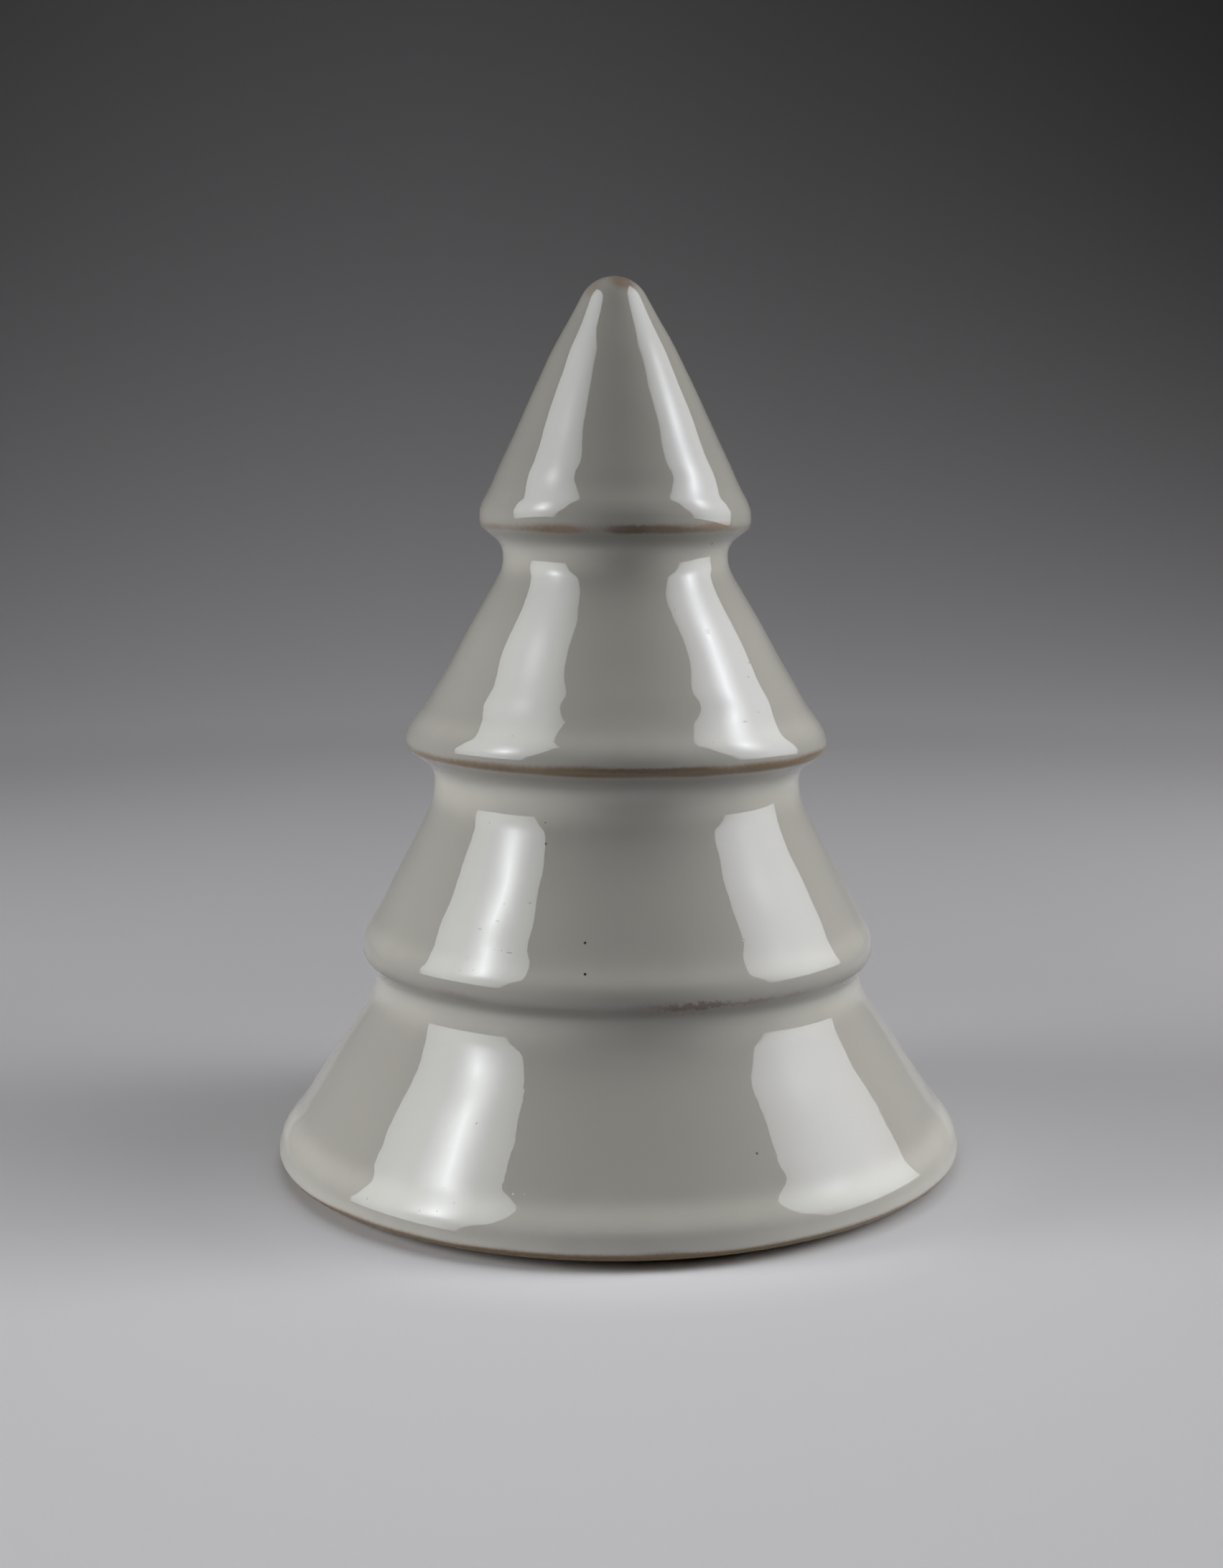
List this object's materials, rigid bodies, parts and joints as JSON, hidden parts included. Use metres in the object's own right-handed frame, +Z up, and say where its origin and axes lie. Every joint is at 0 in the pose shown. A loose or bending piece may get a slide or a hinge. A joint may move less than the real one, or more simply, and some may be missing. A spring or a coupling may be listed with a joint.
{
  "type": "ceramic christmas tree",
  "caption": "Small free-standing Christmas tree of flared tiers, a hollow stoneware casting under a glossy off-white glaze, standing on thin pads.",
  "frame": {"origin": "on the tree's axis at table height, under the pads", "axes": "+Z up along the tree's axis, -Y toward the pictured front, +X to the right"},
  "size_m": [0.1022, 0.1022, 0.13],
  "materials": {
    "stoneware": "matte, unglazed",
    "white_glaze": "glossy",
    "pad_felt": "matte"
  },
  "bodies": {
    "root": {"clay_body": "stoneware", "glaze_coat": "white_glaze", "foot_pad_front_left": "pad_felt", "foot_pad_front_right": "pad_felt", "foot_pad_back_left": "pad_felt", "foot_pad_back_right": "pad_felt"}
  },
  "joints": []
}
